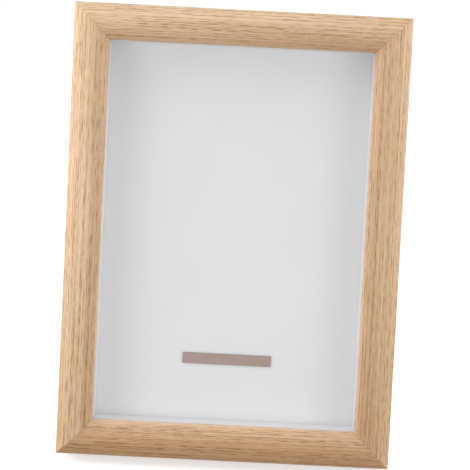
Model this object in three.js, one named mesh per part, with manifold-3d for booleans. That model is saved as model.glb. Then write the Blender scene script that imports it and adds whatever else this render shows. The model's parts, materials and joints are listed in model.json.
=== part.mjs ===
// A box frame that shows a medal: an oak moulding round a shallow white box behind glass.
// Millimetres, +Z up, the front facing -Y. It stands on a table, leaning back on a hinged strut,
// and its origin lies on the table under the middle of its bounding box.
//
// Everything that is fixed to the frame is drawn upright, in the frame's own axes: x to the right,
// y to the back with the moulding's back face at 0, and z up from the frame's bottom edge.

import * as THREE from 'three';
import { mergeVertices } from 'three/addons/utils/BufferGeometryUtils.js';
import Module from 'manifold-3d';

const wasm = await Module();
wasm.setup();

// The sheet that the frame is sold for, and its play in the rabbet, both sides together.
const SHEET_W = 148;
const SHEET_H = 210;
const SHEET_PLAY = 1;

// The oak moulding. Its domed face rises from the outer edge to the crown and falls to the lip.
const RAIL_W = 19;
const LIP_COVER = 4;
const LIP_T = 2;
const RISE_OUTER = 5;
const RISE_INNER = 6;
const FACE_EASE = 0.7;
const FACE_STEPS = 5;
const EDGE_EASE = 0.6;

// What the rabbet holds, from the glass at the front to the board at the back.
const GLAZING_T = 2;
const SPACER_T = 4;
const DISPLAY_DEPTH = 13.5;
const MOUNT_BOARD_T = 2;
const BACK_BOARD_T = 3;
const BACK_INSET = 0.3;
const EDGE_ARRIS = 0.3;

// The blank title plate on the mount board.
const PLATE_W = 48;
const PLATE_H = 6;
const PLATE_T = 0.5;
const PLATE_RISE = 33.2;
const PLATE_CORNER = 0.4;

// The nails that hold each mitre, driven in from the back.
const NAIL_LEG = 5;
const NAIL_T = 0.6;
const NAIL_DEEP = 10;
const NAIL_SINK = 0.5;

// The turn buttons that keep the back in, and their screws.
const BUTTON_FROM_END = 60;
const BUTTON_SETBACK = 5;
const BUTTON_REACH = 11;
const BUTTON_ROOT_R = 4.5;
const BUTTON_NOSE_R = 2.2;
const BUTTON_T = 0.8;
const BUTTON_RIDGE_W = 2;
const BUTTON_RIDGE_H = 0.6;
const SCREW_R = 1.25;
const SCREW_LENGTH = 10;
const SCREW_POINT = 2.5;
const SCREW_HEAD_R = 2.8;
const SCREW_HEAD_H = 1.6;

// How the frame stands: its lean, and the angle between its back and the strut.
const LEAN = THREE.MathUtils.degToRad(14);
const STRUT_OPEN = THREE.MathUtils.degToRad(26);

// The strut and its rolled hinge.
const PIN_UP = 155;
const LEG_T = 3;
const LEG_TOP_W = 30;
const LEG_FOOT_W = 48;
const LEG_SHOULDER_R = 7;
const LEAF_T = 0.8;
const LEAF_W = 26;
const LEAF_LENGTH = 20;
const LEAF_CORNER_R = 3;
const OUTER_KNUCKLE_W = 4.5;
const TONGUE_W = 6;
const TONGUE_SLOT = 0.6;
const ROLL_TURN = THREE.MathUtils.degToRad(290);

// The rivets through the leaves, the strap and the boards.
const RIVET_R = 1.2;
const RIVET_HEAD_R = 2.2;
const RIVET_HEAD_H = 0.9;
const RIVET_TAIL_R = 1.9;
const RIVET_TAIL_H = 0.6;
const RIVET_FROM_SIDE = 5;
const RIVET_FROM_PIN = 13;

// The hanger: a strap rolled round one side of a three-cornered wire ring.
const HANGER_DROP = 13;
const STRAP_W = 7;
const STRAP_LENGTH = 11;
const STRAP_RIVET_DROP = 6.5;
const RING_WIRE_R = 0.9;
const RING_W = 16;
const RING_H = 15;
const RING_BEND = 3;
const RING_SPLIT = 0.3;

// Clearances: between pieces at rest on each other, in glued mitres, round fasteners, at hinges.
const SEAT_GAP = 0.3;
const MITRE_GAP = 0.2;
const FIT_GAP = 0.15;
const RUN_GAP = 0.1;

// How far a cutting tool runs past the faces that it cuts.
const OVERCUT = 1;

// Sizes that follow from those.
const SIGHT_W = SHEET_W - 2 * LIP_COVER;
const SIGHT_H = SHEET_H - 2 * LIP_COVER;
const OUTER_W = SIGHT_W + 2 * RAIL_W;
const OUTER_H = SIGHT_H + 2 * RAIL_W;
const RABBET_W = LIP_COVER + SHEET_PLAY / 2;
const WALL_T = RAIL_W - RABBET_W;
const NAIL_IN = WALL_T / 2;
const BOARD_W = SIGHT_W + 2 * RABBET_W - 2 * SEAT_GAP;
const BOARD_H = SIGHT_H + 2 * RABBET_W - 2 * SEAT_GAP;

// The stack, from the moulding's back face forwards.
const BACK_BOARD_BACK = -BACK_INSET;
const BACK_BOARD_FRONT = BACK_BOARD_BACK - BACK_BOARD_T;
const MOUNT_BOARD_BACK = BACK_BOARD_FRONT - SEAT_GAP;
const MOUNT_BOARD_FRONT = MOUNT_BOARD_BACK - MOUNT_BOARD_T;
const SPACER_BACK = MOUNT_BOARD_FRONT - SEAT_GAP;
const SPACER_FRONT = SPACER_BACK - DISPLAY_DEPTH;
const GLAZING_BACK = SPACER_FRONT - SEAT_GAP;
const GLAZING_FRONT = GLAZING_BACK - GLAZING_T;
const SHOULDER = GLAZING_FRONT - SEAT_GAP;
const LIP_FRONT = SHOULDER - LIP_T;
const CROWN = LIP_FRONT - RISE_INNER;

// The hinge is as thick as the leg with its leaf, so the leg folds flat over the moulding's back.
const LEAF_UNDER = BACK_BOARD_BACK + SEAT_GAP;
const KNUCKLE_R = (2 * SEAT_GAP + LEG_T + LEAF_T - LEAF_UNDER) / 2;
const PIN_R = KNUCKLE_R - LEAF_T - RUN_GAP;
const PIN_BACK = LEAF_UNDER + KNUCKLE_R;
const ROLL_ROOM = KNUCKLE_R + SEAT_GAP;
const LEG_BACK = KNUCKLE_R - LEAF_T - SEAT_GAP;
const LEG_FRONT = LEG_BACK - LEG_T;
const RIVET_SPREAD = LEAF_W / 2 - RIVET_FROM_SIDE;
const EYE_R = RING_WIRE_R + RUN_GAP + LEAF_T;
const EYE_UP = WALL_T + SEAT_GAP + BOARD_H - HANGER_DROP;

// Materials.
const oak = new THREE.MeshStandardMaterial({ color: 0xd9b187, roughness: 0.6, metalness: 0 });
const glass = new THREE.MeshStandardMaterial({
  color: 0xf2f7f5, roughness: 0.05, metalness: 0, transparent: true, opacity: 0.25,
});
const whiteCard = new THREE.MeshStandardMaterial({ color: 0xe4e6e8, roughness: 0.9, metalness: 0 });
const plateMetal = new THREE.MeshStandardMaterial({ color: 0xa79388, roughness: 0.5, metalness: 0.3 });
const fibreboard = new THREE.MeshStandardMaterial({ color: 0x9a7650, roughness: 0.8, metalness: 0 });
const steel = new THREE.MeshStandardMaterial({ color: 0xb9bbbd, roughness: 0.35, metalness: 1 });

// A drawing in (y, z) pushed along x, and a drawing in (x, z) pushed along y.
const ALONG_X = new THREE.Matrix4().makeBasis(
  new THREE.Vector3(0, 1, 0), new THREE.Vector3(0, 0, 1), new THREE.Vector3(1, 0, 0),
);
const ALONG_Y = new THREE.Matrix4().makeBasis(
  new THREE.Vector3(1, 0, 0), new THREE.Vector3(0, 0, 1), new THREE.Vector3(0, -1, 0),
);

// A section pushed along x, with its middle at x = 0.
function bar(section, length, curveSegments = 10) {
  const settings = { depth: length, bevelEnabled: false, curveSegments };
  return new THREE.ExtrudeGeometry(section, settings).translate(0, 0, -length / 2).applyMatrix4(ALONG_X);
}

// An outline pushed through its thickness, from y = 0 to y = thickness, with its edges taken off.
function plate(outline, thickness, arris = 0) {
  const geometry = new THREE.ExtrudeGeometry(outline, {
    depth: thickness - 2 * arris,
    bevelEnabled: arris > 0,
    bevelThickness: arris,
    bevelSize: arris,
    bevelOffset: -arris,
    bevelSegments: 1,
    curveSegments: 8,
  });
  return geometry.applyMatrix4(ALONG_Y).translate(0, thickness - arris, 0);
}

function block(width, depth, height, x, y, z) {
  return new THREE.BoxGeometry(width, depth, height).translate(x, y, z);
}

// A round tool along y, from y = start to y = end.
function drill(radius, start, end, x, z) {
  return new THREE.CylinderGeometry(radius, radius, end - start, 20).translate(x, (start + end) / 2, z);
}

function roundedRect(width, height, radius) {
  const x = width / 2;
  const z = height / 2;
  const shape = new THREE.Shape();
  shape.moveTo(-x + radius, -z);
  shape.lineTo(x - radius, -z);
  shape.absarc(x - radius, -z + radius, radius, -Math.PI / 2, 0, false);
  shape.lineTo(x, z - radius);
  shape.absarc(x - radius, z - radius, radius, 0, Math.PI / 2, false);
  shape.lineTo(-x + radius, z);
  shape.absarc(-x + radius, z - radius, radius, Math.PI / 2, Math.PI, false);
  shape.lineTo(-x, -z + radius);
  shape.absarc(-x + radius, -z + radius, radius, Math.PI, 1.5 * Math.PI, false);
  return shape;
}

function rectangle(width, height) {
  const x = width / 2;
  const z = height / 2;
  return new THREE.Shape([[-x, -z], [x, -z], [x, z], [-x, z]].map((p) => new THREE.Vector2(...p)));
}

// Booleans: a closed mesh becomes a solid, is joined and cut, and becomes a mesh again.
function toSolid(geometry) {
  const bare = geometry.clone();
  bare.deleteAttribute('normal');
  bare.deleteAttribute('uv');
  const merged = mergeVertices(bare, 1e-4);
  return new wasm.Manifold(new wasm.Mesh({
    numProp: 3,
    vertProperties: merged.attributes.position.array,
    triVerts: Uint32Array.from(merged.index.array),
  }));
}

function toGeometry(solid) {
  const mesh = solid.getMesh();
  const geometry = new THREE.BufferGeometry();
  geometry.setAttribute('position', new THREE.BufferAttribute(mesh.vertProperties, 3));
  geometry.setIndex(new THREE.BufferAttribute(mesh.triVerts, 1));
  geometry.computeVertexNormals();
  return geometry;
}

function cut(geometry, tools) {
  let solid = toSolid(geometry);
  for (const tool of tools) {
    solid = solid.subtract(toSolid(tool));
  }
  return toGeometry(solid);
}

function join(geometry, other) {
  return toGeometry(toSolid(geometry).add(toSolid(other)));
}

function keepWithin(geometry, outline) {
  return toGeometry(toSolid(geometry).intersect(toSolid(outline)));
}

function place(parent, name, geometry, material, x = 0, y = 0, z = 0, turn = 0) {
  const mesh = new THREE.Mesh(geometry, material);
  mesh.name = name;
  mesh.position.set(x, y, z);
  mesh.rotation.y = turn;
  parent.add(mesh);
  return mesh;
}

// One half of the moulding's face: an arc that starts flat at the crown and would reach the rail's
// side having fallen by the rise. Where it meets the side, the corner is rounded.
function faceHalf(rise) {
  const half = RAIL_W / 2;
  const radius = (half * half + rise * rise) / (2 * rise);
  const sweep = Math.asin((half - FACE_EASE) / radius);
  const easeStart = CROWN + radius * (1 - Math.cos(sweep));
  const corner = easeStart + FACE_EASE * Math.tan(sweep);
  const easeEnd = corner + FACE_EASE / Math.cos(sweep);
  return { radius, sweep, easeStart, corner, easeEnd };
}

// The moulding's section in (y, distance in from the outer edge). Its face is two arcs that meet
// at the crown, and it falls further to the lip by the glass than to the outer edge.
function railSection() {
  const outer = faceHalf(RISE_OUTER);
  const inner = faceHalf(RISE_INNER);
  const middle = RAIL_W / 2;
  const section = new THREE.Shape();
  section.moveTo(outer.easeEnd, 0);
  section.quadraticCurveTo(outer.corner, 0, outer.easeStart, FACE_EASE);
  section.absarc(CROWN + outer.radius, middle, outer.radius, Math.PI + outer.sweep, Math.PI, true);
  section.absarc(CROWN + inner.radius, middle, inner.radius, Math.PI, Math.PI - inner.sweep, true);
  section.quadraticCurveTo(inner.corner, RAIL_W, inner.easeEnd, RAIL_W);
  section.lineTo(SHOULDER, RAIL_W);
  section.lineTo(SHOULDER, WALL_T);
  section.lineTo(0, WALL_T);
  section.lineTo(0, EDGE_EASE);
  section.lineTo(-EDGE_EASE, 0);
  return section;
}

// A rail along x with its outer edge at z = 0. Its ends are drawn in by as much as each point
// lies in from the outer edge, which makes the mitres. Nail slots are cut at both ends.
function rail(length, screwPlaces) {
  const geometry = bar(railSection(), length, FACE_STEPS);
  const corners = geometry.attributes.position;
  for (let i = 0; i < corners.count; i += 1) {
    const end = length / 2 - corners.getZ(i) - MITRE_GAP / Math.SQRT2;
    corners.setX(i, Math.sign(corners.getX(i)) * end);
  }
  const slotX = length / 2 - NAIL_IN + NAIL_T / 2 - NAIL_LEG / 2;
  const slotDeep = NAIL_SINK + NAIL_DEEP + FIT_GAP;
  const slots = [-1, 1].map((side) => block(
    NAIL_LEG + 2 * FIT_GAP, 2 * slotDeep, NAIL_T + 2 * FIT_GAP, side * slotX, 0, NAIL_IN,
  ));
  const pilots = screwPlaces.map((x) => drill(
    SCREW_R + FIT_GAP, -SCREW_LENGTH - FIT_GAP, OVERCUT, x, WALL_T - BUTTON_SETBACK,
  ));
  return cut(geometry, [...slots, ...pilots]);
}

// A sheet-metal leaf with one end rolled round a pin on the x axis. The leaf stands up from the
// pin, on the side of -y, and its far corners are rounded.
function rolledLeaf(width, length, rollR, cornerR) {
  const rollEnd = Math.PI + ROLL_TURN;
  const section = new THREE.Shape();
  section.moveTo(-rollR, length);
  section.lineTo(-rollR, 0);
  section.absarc(0, 0, rollR, Math.PI, rollEnd, false);
  section.absarc(0, 0, rollR - LEAF_T, rollEnd, Math.PI, true);
  section.lineTo(-rollR + LEAF_T, length);
  const overhang = rollR + 2 * cornerR;
  const outline = plate(roundedRect(width, length + overhang, cornerR), 4 * rollR)
    .translate(0, -2 * rollR, (length - overhang) / 2);
  return keepWithin(bar(section, width), outline);
}

// A solid rivet along y: its flat tail at y = 0, its shank, and its domed head.
function rivet(shank) {
  const neck = RIVET_TAIL_H + shank;
  const points = [
    [0, 0], [RIVET_TAIL_R, 0], [RIVET_TAIL_R, RIVET_TAIL_H], [RIVET_R, RIVET_TAIL_H], [RIVET_R, neck],
  ];
  for (let turn = 0; turn <= 4; turn += 1) {
    const angle = (turn / 4) * (Math.PI / 2);
    points.push([turn < 4 ? RIVET_HEAD_R * Math.cos(angle) : 0, neck + RIVET_HEAD_H * Math.sin(angle)]);
  }
  return new THREE.LatheGeometry(points.map((p) => new THREE.Vector2(...p)), 20);
}

// The hole for a rivet that comes from y = back, with room for its tail at y = front.
function rivetHole(front, back, x, z) {
  return [
    drill(RIVET_R + FIT_GAP, front - OVERCUT, back + OVERCUT, x, z),
    drill(RIVET_TAIL_R + FIT_GAP, front - OVERCUT, front + RIVET_TAIL_H + 2 * FIT_GAP, x, z),
  ];
}

// A rivet through one board and the sheet that lies on its back.
function placeRivet(parent, name, front, sheetBack, x, z) {
  const tail = front + FIT_GAP;
  place(parent, name, rivet(sheetBack + FIT_GAP - tail - RIVET_TAIL_H), steel, x, tail, z);
}

// A pan-headed wood screw along y: its head behind y = 0 and its point towards -y.
function screw() {
  const points = [
    [0, -SCREW_LENGTH], [SCREW_R, -SCREW_LENGTH + SCREW_POINT], [SCREW_R, 0], [SCREW_HEAD_R, 0],
  ];
  for (let turn = 1; turn <= 5; turn += 1) {
    const angle = (turn / 5) * (Math.PI / 2);
    const out = turn < 5 ? SCREW_HEAD_R * Math.cos(angle) ** 0.5 : 0;
    points.push([out, SCREW_HEAD_H * Math.sin(angle)]);
  }
  return new THREE.LatheGeometry(points.map((p) => new THREE.Vector2(...p)), 20);
}

// A turn button: a teardrop of spring steel with a pressed ridge, its nose towards +x.
function turnButton() {
  const lean = Math.acos((BUTTON_ROOT_R - BUTTON_NOSE_R) / BUTTON_REACH);
  const outline = new THREE.Shape();
  outline.absarc(0, 0, BUTTON_ROOT_R, lean, 2 * Math.PI - lean, false);
  outline.absarc(BUTTON_REACH, 0, BUTTON_NOSE_R, -lean, lean, false);
  const hole = new THREE.Path();
  hole.absarc(0, 0, SCREW_R + FIT_GAP, 0, 2 * Math.PI, true);
  outline.holes.push(hole);
  const ridgeStart = SCREW_HEAD_R + SEAT_GAP;
  const ridge = new THREE.Shape();
  ridge.moveTo(-BUTTON_RIDGE_W / 2, 0);
  ridge.quadraticCurveTo(0, 2 * BUTTON_RIDGE_H, BUTTON_RIDGE_W / 2, 0);
  ridge.lineTo(BUTTON_RIDGE_W / 2, -BUTTON_T / 2);
  ridge.lineTo(-BUTTON_RIDGE_W / 2, -BUTTON_T / 2);
  const settings = { depth: BUTTON_REACH - ridgeStart, bevelEnabled: false, curveSegments: 6 };
  const ridgeSolid = new THREE.ExtrudeGeometry(ridge, settings)
    .rotateY(Math.PI / 2)
    .translate(ridgeStart, BUTTON_T, 0);
  return join(plate(outline, BUTTON_T), ridgeSolid);
}

// The wire ring in its own plane: one side along x through the strap's eye, its point downwards,
// and the wire's two ends meeting inside the eye.
class RingPath extends THREE.Curve {
  constructor() {
    super();
    const x = RING_W / 2;
    const side = Math.hypot(x, RING_H);
    const bend = { x: (RING_BEND / side) * x, z: (RING_BEND / side) * RING_H };
    this.path = new THREE.Path();
    this.path.moveTo(RING_SPLIT / 2, 0);
    this.path.lineTo(x - RING_BEND, 0);
    this.path.quadraticCurveTo(x, 0, x - bend.x, -bend.z);
    this.path.lineTo(bend.x, -RING_H + bend.z);
    this.path.quadraticCurveTo(0, -RING_H, -bend.x, -RING_H + bend.z);
    this.path.lineTo(-x + bend.x, -bend.z);
    this.path.quadraticCurveTo(-x, 0, -x + RING_BEND, 0);
    this.path.lineTo(-RING_SPLIT / 2, 0);
  }

  getPoint(t, target = new THREE.Vector3()) {
    const point = this.path.getPointAt(t);
    return target.set(point.x, 0, point.y);
  }
}

function hangerRing() {
  const wire = new THREE.Shape();
  wire.absarc(0, 0, RING_WIRE_R, 0, 2 * Math.PI, false);
  return new THREE.ExtrudeGeometry(wire, { steps: 56, extrudePath: new RingPath(), curveSegments: 5 });
}

// The frame's four sides, from the bottom round to the left, each with the turn about y that
// brings a rail drawn along x to it, and the turn buttons on it.
const SIDES = [
  { name: 'bottom', x: 0, z: 0, turn: 0, buttons: [] },
  { name: 'right', x: OUTER_W / 2, z: OUTER_H / 2, turn: -Math.PI / 2, buttons: ['lower', 'upper'] },
  { name: 'top', x: 0, z: OUTER_H, turn: Math.PI, buttons: [] },
  { name: 'left', x: -OUTER_W / 2, z: OUTER_H / 2, turn: Math.PI / 2, buttons: ['upper', 'lower'] },
];
const CORNERS = ['bottom_left', 'bottom_right', 'top_right', 'top_left'];

function addMoulding(frame) {
  const shortRail = rail(OUTER_W, []);
  const screwAt = OUTER_H / 2 - BUTTON_FROM_END;
  const longRail = rail(OUTER_H, [-screwAt, screwAt]);
  for (const side of SIDES) {
    const geometry = side.buttons.length ? longRail : shortRail;
    place(frame, `rail_${side.name}`, geometry, oak, side.x, 0, side.z, side.turn);
  }
}

function addCornerNails(frame) {
  const outline = new THREE.Shape([
    [0, 0], [NAIL_LEG, 0], [NAIL_LEG, NAIL_T], [NAIL_T, NAIL_T], [NAIL_T, NAIL_LEG], [0, NAIL_LEG],
  ].map((p) => new THREE.Vector2(...p)));
  const nail = plate(outline, NAIL_DEEP);
  const start = NAIL_IN - NAIL_T / 2;
  const x = OUTER_W / 2 - start;
  const end = OUTER_H - start;
  const spots = [[-x, start], [x, start], [x, end], [-x, end]];
  CORNERS.forEach((name, i) => {
    const turn = -i * (Math.PI / 2);
    place(frame, `corner_nail_${name}`, nail, steel, spots[i][0], -NAIL_SINK - NAIL_DEEP, spots[i][1], turn);
  });
}

// The glass, the white spacers that hold it off the mount board, and the boards behind.
function addBoxPack(frame) {
  const middle = OUTER_H / 2;
  const sheet = rectangle(BOARD_W, BOARD_H);
  place(frame, 'glazing', plate(sheet, GLAZING_T, EDGE_ARRIS), glass, 0, GLAZING_FRONT, middle);

  const uprightH = BOARD_H - 2 * SPACER_T - 2 * SEAT_GAP;
  const across = plate(rectangle(BOARD_W, SPACER_T), DISPLAY_DEPTH, EDGE_ARRIS);
  const upright = plate(rectangle(SPACER_T, uprightH), DISPLAY_DEPTH, EDGE_ARRIS);
  const edgeX = (BOARD_W - SPACER_T) / 2;
  const edgeZ = (BOARD_H - SPACER_T) / 2;
  place(frame, 'spacer_bottom', across, whiteCard, 0, SPACER_FRONT, middle - edgeZ);
  place(frame, 'spacer_top', across, whiteCard, 0, SPACER_FRONT, middle + edgeZ);
  place(frame, 'spacer_left', upright, whiteCard, -edgeX, SPACER_FRONT, middle);
  place(frame, 'spacer_right', upright, whiteCard, edgeX, SPACER_FRONT, middle);

  place(frame, 'mount_board', plate(sheet, MOUNT_BOARD_T), whiteCard, 0, MOUNT_BOARD_FRONT, middle);
  const plateFront = MOUNT_BOARD_FRONT - SEAT_GAP - PLATE_T;
  const titlePlate = plate(roundedRect(PLATE_W, PLATE_H, PLATE_CORNER), PLATE_T, PLATE_T / 5);
  place(frame, 'title_plate', titlePlate, plateMetal, 0, plateFront, RAIL_W + PLATE_RISE);
}

function addBackBoard(frame) {
  const middle = OUTER_H / 2;
  const blank = plate(rectangle(BOARD_W, BOARD_H), BACK_BOARD_T, EDGE_ARRIS)
    .translate(0, BACK_BOARD_FRONT, middle);
  const spots = [
    [-RIVET_SPREAD, PIN_UP + RIVET_FROM_PIN],
    [RIVET_SPREAD, PIN_UP + RIVET_FROM_PIN],
    [0, EYE_UP - STRAP_RIVET_DROP],
  ];
  const holes = spots.flatMap(([x, z]) => rivetHole(BACK_BOARD_FRONT, BACK_BOARD_BACK, x, z));
  place(frame, 'back_board', cut(blank, holes), fibreboard);
}

function addTurnButtons(frame) {
  const button = turnButton();
  const fixing = screw();
  const screwX = OUTER_W / 2 - WALL_T + BUTTON_SETBACK;
  for (const side of SIDES) {
    for (const level of side.buttons) {
      const x = Math.sign(side.x) * screwX;
      const z = level === 'lower' ? BUTTON_FROM_END : OUTER_H - BUTTON_FROM_END;
      const turn = side.name === 'right' ? Math.PI : 0;
      place(frame, `turn_button_${side.name}_${level}`, button, steel, x, SEAT_GAP, z, turn);
      place(frame, `turn_screw_${side.name}_${level}`, fixing, steel, x, SEAT_GAP + BUTTON_T + FIT_GAP, z);
    }
  }
}

// The strut's hinge. Two outer knuckles belong to the leaf on the board. Between them the leg's
// leaf has two knuckles, and a straight tongue between those: when the leg is open, the tongue's
// tip meets the board's leaf above the pin and stops it.
function addBoardLeaf(frame) {
  const gap = LEAF_W - 2 * OUTER_KNUCKLE_W + 2 * FIT_GAP;
  const tools = [block(gap, 4 * KNUCKLE_R, 2 * ROLL_ROOM, 0, 0, 0)];
  for (const x of [-RIVET_SPREAD, RIVET_SPREAD]) {
    tools.push(drill(RIVET_R + FIT_GAP, -2 * KNUCKLE_R, 0, x, RIVET_FROM_PIN));
  }
  const leaf = cut(rolledLeaf(LEAF_W, LEAF_LENGTH, KNUCKLE_R, LEAF_CORNER_R), tools);
  place(frame, 'strut_board_leaf', leaf, steel, 0, PIN_BACK, PIN_UP);
  const pin = new THREE.CylinderGeometry(PIN_R, PIN_R, LEAF_W, 24).rotateZ(Math.PI / 2);
  place(frame, 'strut_pin', pin, steel, 0, PIN_BACK, PIN_UP);
  [['left', -1], ['right', 1]].forEach(([name, side]) => {
    const z = PIN_UP + RIVET_FROM_PIN;
    placeRivet(frame, `board_rivet_${name}`, BACK_BOARD_FRONT, LEAF_UNDER + LEAF_T, side * RIVET_SPREAD, z);
  });
}

function legLeaf() {
  const knuckleSide = LEAF_W / 2 - OUTER_KNUCKLE_W;
  const sideRoom = OUTER_KNUCKLE_W + FIT_GAP;
  const tools = [-1, 1].map((side) => block(
    2 * sideRoom, 4 * KNUCKLE_R, 2 * ROLL_ROOM, side * (knuckleSide - FIT_GAP + sideRoom), 0, 0,
  ));
  tools.push(block(TONGUE_W + 2 * TONGUE_SLOT, 4 * KNUCKLE_R, 2 * ROLL_ROOM, 0, 0, 0));
  for (const x of [-RIVET_SPREAD, RIVET_SPREAD]) {
    tools.push(drill(RIVET_R + FIT_GAP, -2 * KNUCKLE_R, 0, x, RIVET_FROM_PIN));
  }
  const leaf = cut(rolledLeaf(LEAF_W, LEAF_LENGTH, KNUCKLE_R, LEAF_CORNER_R), tools);
  const inner = KNUCKLE_R - LEAF_T;
  const drop = KNUCKLE_R - LEAF_T - SEAT_GAP + inner * Math.cos(STRUT_OPEN);
  const tongueReach = drop / Math.sin(STRUT_OPEN);
  const tongueRoot = ROLL_ROOM + LEAF_T;
  const tongue = block(
    TONGUE_W, LEAF_T, tongueReach + tongueRoot,
    0, -KNUCKLE_R + LEAF_T / 2, (tongueRoot - tongueReach) / 2,
  );
  return join(leaf, tongue).rotateX(Math.PI);
}

// The leg hangs from the pin in its own axes, y = 0 and z = 0 at the pin. Its foot is cut to lie
// flat on the table when the leg is open.
function legBoard(pinHeight) {
  const top = -ROLL_ROOM - SEAT_GAP;
  const tilt = STRUT_OPEN - LEAN;
  const longest = pinHeight / Math.cos(tilt) + LEG_T;
  const half = LEG_TOP_W / 2;
  const outline = new THREE.Shape();
  outline.moveTo(-LEG_FOOT_W / 2, -longest);
  outline.lineTo(LEG_FOOT_W / 2, -longest);
  outline.lineTo(half, top - LEG_SHOULDER_R);
  outline.quadraticCurveTo(half, top, half - LEG_SHOULDER_R, top);
  outline.lineTo(-half + LEG_SHOULDER_R, top);
  outline.quadraticCurveTo(-half, top, -half, top - LEG_SHOULDER_R);
  const blank = plate(outline, LEG_T, EDGE_ARRIS).translate(0, LEG_FRONT, 0);
  const ground = block(2 * LEG_FOOT_W, longest, longest, 0, 0, -pinHeight - longest / 2).rotateX(-tilt);
  const spots = [-RIVET_SPREAD, RIVET_SPREAD];
  const holes = spots.flatMap((x) => rivetHole(LEG_FRONT, LEG_BACK, x, -RIVET_FROM_PIN));
  return cut(blank, [ground, ...holes]);
}

function addStrut(frame, pinHeight) {
  const strut = new THREE.Group();
  strut.position.set(0, PIN_BACK, PIN_UP);
  strut.rotation.x = STRUT_OPEN;
  frame.add(strut);
  place(strut, 'strut_leg', legBoard(pinHeight), fibreboard);
  place(strut, 'strut_leg_leaf', legLeaf(), steel);
  [['left', -1], ['right', 1]].forEach(([name, side]) => {
    placeRivet(strut, `leg_rivet_${name}`, LEG_FRONT, KNUCKLE_R, side * RIVET_SPREAD, -RIVET_FROM_PIN);
  });
}

// The strap's eye is at its top. The ring hangs from it straight down, clear of the leaning back.
function addHanger(frame) {
  const eyeBack = LEAF_UNDER + EYE_R;
  const strap = cut(
    rolledLeaf(STRAP_W, STRAP_LENGTH, EYE_R, LEAF_CORNER_R),
    [drill(RIVET_R + FIT_GAP, -2 * EYE_R, 0, 0, STRAP_RIVET_DROP)],
  );
  place(frame, 'hanger_strap', strap, steel, 0, eyeBack, EYE_UP, Math.PI);
  placeRivet(frame, 'hanger_rivet', BACK_BOARD_FRONT, LEAF_UNDER + LEAF_T, 0, EYE_UP - STRAP_RIVET_DROP);
  const ring = place(frame, 'hanger_ring', hangerRing(), steel, 0, eyeBack, EYE_UP);
  ring.rotation.x = LEAN;
}

// The leaning frame stands on the lowest point of its moulding, the back edge of the bottom rail.
function leanedHeight(y, z) {
  return z * Math.cos(LEAN) - y * Math.sin(LEAN);
}
const FLOOR_UNDER = Math.min(...railSection().getPoints().map((p) => leanedHeight(p.x, p.y)));

const medalFrame = new THREE.Group();
const frame = new THREE.Group();
frame.rotation.x = -LEAN;
frame.position.z = -FLOOR_UNDER;
medalFrame.add(frame);

addMoulding(frame);
addCornerNails(frame);
addBoxPack(frame);
addBackBoard(frame);
addTurnButtons(frame);
addBoardLeaf(frame);
addStrut(frame, leanedHeight(PIN_BACK, PIN_UP) - FLOOR_UNDER);
addHanger(frame);

// The origin goes under the middle of the bounding box.
const extent = new THREE.Box3().setFromObject(medalFrame, true);
frame.position.y = -(extent.min.y + extent.max.y) / 2;

export default medalFrame;
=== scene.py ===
# %% [markdown]
# A box frame for a medal: oak moulding round a shallow white box behind glass, standing on a strut.
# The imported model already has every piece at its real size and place, as a fixed frame. This
# lesson gives each piece the surface and the fine shape that the real one has. Flat boards stay as
# they are packed and only get a material. Curved or pressed pieces are modelled again, finer.

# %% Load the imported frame
import json
import math

import bmesh
import bpy
from mathutils import Matrix, Vector
from mathutils.geometry import tessellate_polygon


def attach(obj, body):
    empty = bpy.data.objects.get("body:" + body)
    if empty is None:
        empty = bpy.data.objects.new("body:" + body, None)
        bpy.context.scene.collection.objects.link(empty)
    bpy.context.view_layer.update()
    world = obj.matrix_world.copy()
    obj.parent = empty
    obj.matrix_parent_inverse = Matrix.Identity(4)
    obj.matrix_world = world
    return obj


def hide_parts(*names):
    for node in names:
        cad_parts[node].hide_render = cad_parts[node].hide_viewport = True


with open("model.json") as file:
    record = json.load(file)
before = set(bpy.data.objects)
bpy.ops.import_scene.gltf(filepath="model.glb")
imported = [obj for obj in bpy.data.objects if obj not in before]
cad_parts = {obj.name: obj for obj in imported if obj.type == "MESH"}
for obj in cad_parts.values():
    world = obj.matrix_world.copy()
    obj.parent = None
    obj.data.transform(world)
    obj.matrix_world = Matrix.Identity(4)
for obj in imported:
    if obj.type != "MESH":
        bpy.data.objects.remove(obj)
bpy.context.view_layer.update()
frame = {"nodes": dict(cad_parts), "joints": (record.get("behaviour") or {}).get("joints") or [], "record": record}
nodes = frame["nodes"]
print("packed pieces:", len(nodes))

# %% [markdown]
# The frame leans back, but its moulding is easiest to think of upright, in millimetres. The record
# names two flat faces, the underside and the back, and their directions give the frame's own
# axes: x right, y back with the moulding's back face at 0, and z up from the bottom edge. A
# matrix from those axes to the shared frame then places everything, with no angle typed twice.

# %% Find the frame's own axes
MM = 0.001
mounts = {mount["name"]: mount for mount in frame["record"]["mounts"]}
joints = {joint["name"]: joint for joint in frame["joints"]}


def axes(x, y, z, at):
    """The matrix from millimetres along x, y and z, starting at a point, to the shared frame."""
    turn = Matrix((x, y, z)).transposed().to_4x4()
    return Matrix.Translation(at) @ turn @ Matrix.Scale(MM, 4)


right = Vector((1, 0, 0))
up = -Vector(mounts["underside"]["axis"])
back = Vector(mounts["back_top"]["axis"])
corner = up * up.dot(mounts["underside"]["pos_m"]) + back * back.dot(mounts["back_top"]["pos_m"])
OWN = axes(right, back, up, corner)
print("the frame leans back by", round(math.degrees(up.angle((0, 0, 1))), 2), "degrees")

# %% [markdown]
# The strut turns on its pin and the ring in its strap, so each is drawn in axes of its own that
# start at its joint. The strut's range is the angle that it stands open by. The ring hangs
# straight down, so its axes are the shared frame's.

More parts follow.
